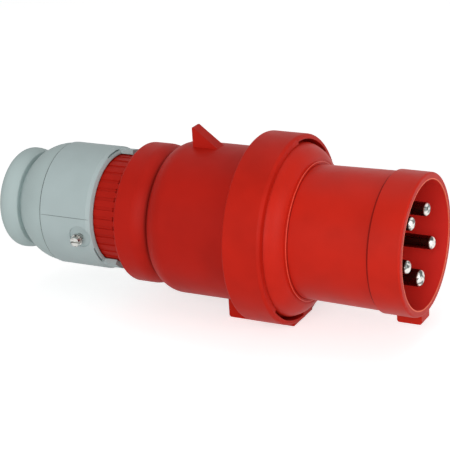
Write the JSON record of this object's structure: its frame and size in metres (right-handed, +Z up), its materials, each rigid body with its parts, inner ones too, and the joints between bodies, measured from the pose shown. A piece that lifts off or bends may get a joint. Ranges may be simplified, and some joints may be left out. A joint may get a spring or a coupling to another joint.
{
  "type": "industrial pin and sleeve plug",
  "caption": "Round industrial power plug with keyed red sleeve, bayonet coupling ring, latch hook, fluted neck, grey cable gland and flared cable entry.",
  "frame": {"origin": "under the middle of the plug, on the surface that the ring's lug stands on", "axes": "+X along the plug towards its mouth, +Z up through the latch hook"},
  "size_m": [0.2678, 0.1116, 0.1134],
  "materials": {
    "red_plastic": "satin moulded",
    "red_insert": "moulded",
    "nickel": "nickel plated brass",
    "steel": "zinc plated",
    "spring_steel": "oiled",
    "grey_plastic": "satin moulded",
    "light_grey_plastic": "satin moulded",
    "black_rubber": "matt",
    "grey_rubber": "matt",
    "slip_ring": "smooth"
  },
  "bodies": {
    "plug_body": {"front_sleeve": "red_plastic", "pin_insert": "red_insert", "ring_clip": "spring_steel", "handle_housing": "red_plastic", "housing_o_ring": "black_rubber", "cable_seal": "grey_rubber", "pin_l1": "nickel", "terminal_screws_l1": "steel", "pin_l2": "nickel", "terminal_screws_l2": "steel", "pin_l3": "nickel", "terminal_screws_l3": "steel", "pin_neutral": "nickel", "terminal_screws_neutral": "steel", "pin_earth": "nickel", "terminal_screws_earth": "steel"},
    "coupling": {"coupling_ring": "red_plastic"},
    "thrust": {"thrust_ring": "slip_ring"},
    "gland": {"gland_nut": "grey_plastic", "bellmouth": "light_grey_plastic"},
    "lock_travel": {"lock_washer": "steel"},
    "lock": {"lock_screw": "steel"}
  },
  "joints": [
    {"name": "ring_turn", "type": "hinge", "parent": "plug_body", "child": "coupling", "pos_m": [0.04495, 0, 0.0562], "axis": [1, 0, 0], "range_deg": [0, 45]},
    {"name": "gland_travel", "type": "slide", "parent": "plug_body", "child": "thrust", "axis": [-1, 0, 0], "range_m": [0, 0.006]},
    {"name": "gland_turn", "type": "hinge", "parent": "thrust", "child": "gland", "pos_m": [-0.08005, 0, 0.0562], "axis": [-1, 0, 0], "range_deg": [0, 540]},
    {"name": "lock_travel", "type": "slide", "parent": "gland", "child": "lock_travel", "axis": [0, 0.9833, 0.1822], "range_m": [0, 0.001]},
    {"name": "lock_turn", "type": "hinge", "parent": "lock_travel", "child": "lock", "pos_m": [-0.07145, -0.03933, 0.04891], "axis": [0, 0.9833, 0.1822], "range_deg": [0, 514.3]}
  ],
  "couplings": [
    {"joint": "gland_travel", "follows": "gland_turn", "m_per_rad": 0.0006366},
    {"joint": "lock_turn", "follows": "lock_travel", "rad_per_m": 8976}
  ]
}
